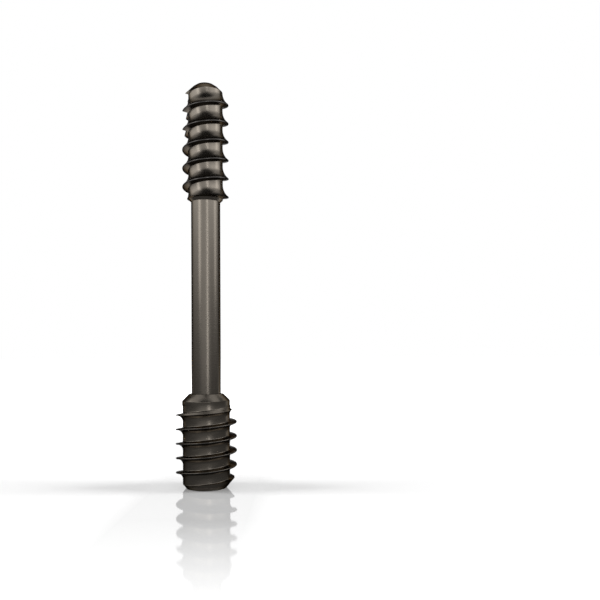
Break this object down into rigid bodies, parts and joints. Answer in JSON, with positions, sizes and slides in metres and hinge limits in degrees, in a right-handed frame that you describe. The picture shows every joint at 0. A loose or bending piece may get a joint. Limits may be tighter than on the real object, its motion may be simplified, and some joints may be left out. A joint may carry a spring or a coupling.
{
  "type": "bone compression screw",
  "caption": "Headless bone screw: a slim plain shank between a coarse leading thread and a wider, finer trailing thread, with a hexagonal driver socket sunk in the trailing face.",
  "frame": {"origin": "centre of the flat trailing face, on the screw's axis", "axes": "+Z along the screw's axis from the trailing face towards the tip; the driver socket's corners lie on the X axis"},
  "size_m": [0.006, 0.006, 0.04],
  "materials": {
    "titanium": "satin dark grey-bronze anodised titanium alloy"
  },
  "bodies": {
    "root": {"compression_screw": "titanium"}
  },
  "joints": []
}
